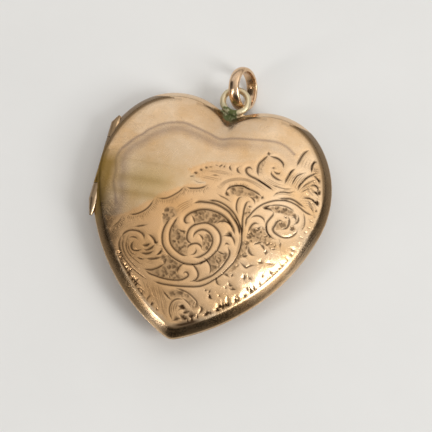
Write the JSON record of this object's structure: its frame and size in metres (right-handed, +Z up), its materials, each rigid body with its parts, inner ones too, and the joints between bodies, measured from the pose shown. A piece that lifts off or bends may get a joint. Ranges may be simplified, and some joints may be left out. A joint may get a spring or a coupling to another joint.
{
  "type": "heart locket",
  "caption": "Engraved heart-shaped locket that opens on a side hinge, with an eye in the cleft and a loose bail for a chain.",
  "frame": {"origin": "middle of the flat on the crown of the back, where the locket rests lying down", "axes": "+Z up through the engraved front, +Y from the tip of the heart to its bail, +X away from the hinge"},
  "size_m": [0.0245, 0.0312, 0.0055],
  "materials": {
    "rose_gold": "worn polished rose-coloured gold with olive tarnish at the edges",
    "pale_gold": "plain pale gold, satin"
  },
  "bodies": {
    "back": {"back_shell": "rose_gold", "closing_rim": "pale_gold", "hinge_pin": "pale_gold"},
    "cover": {"front_cover": "rose_gold"},
    "bail": {"bail": "rose_gold"}
  },
  "joints": [
    {"name": "cover_hinge", "type": "hinge", "parent": "back", "child": "cover", "pos_m": [-0.0114, 0, 0.00274], "axis": [0, -1, 0], "range_deg": [0, 110]},
    {"name": "bail_swing", "type": "hinge", "parent": "back", "child": "bail", "pos_m": [0.0003, 0.0136, 0.00294], "axis": [0.9888, 0, 0.1494], "range_deg": [-4, 90]}
  ]
}
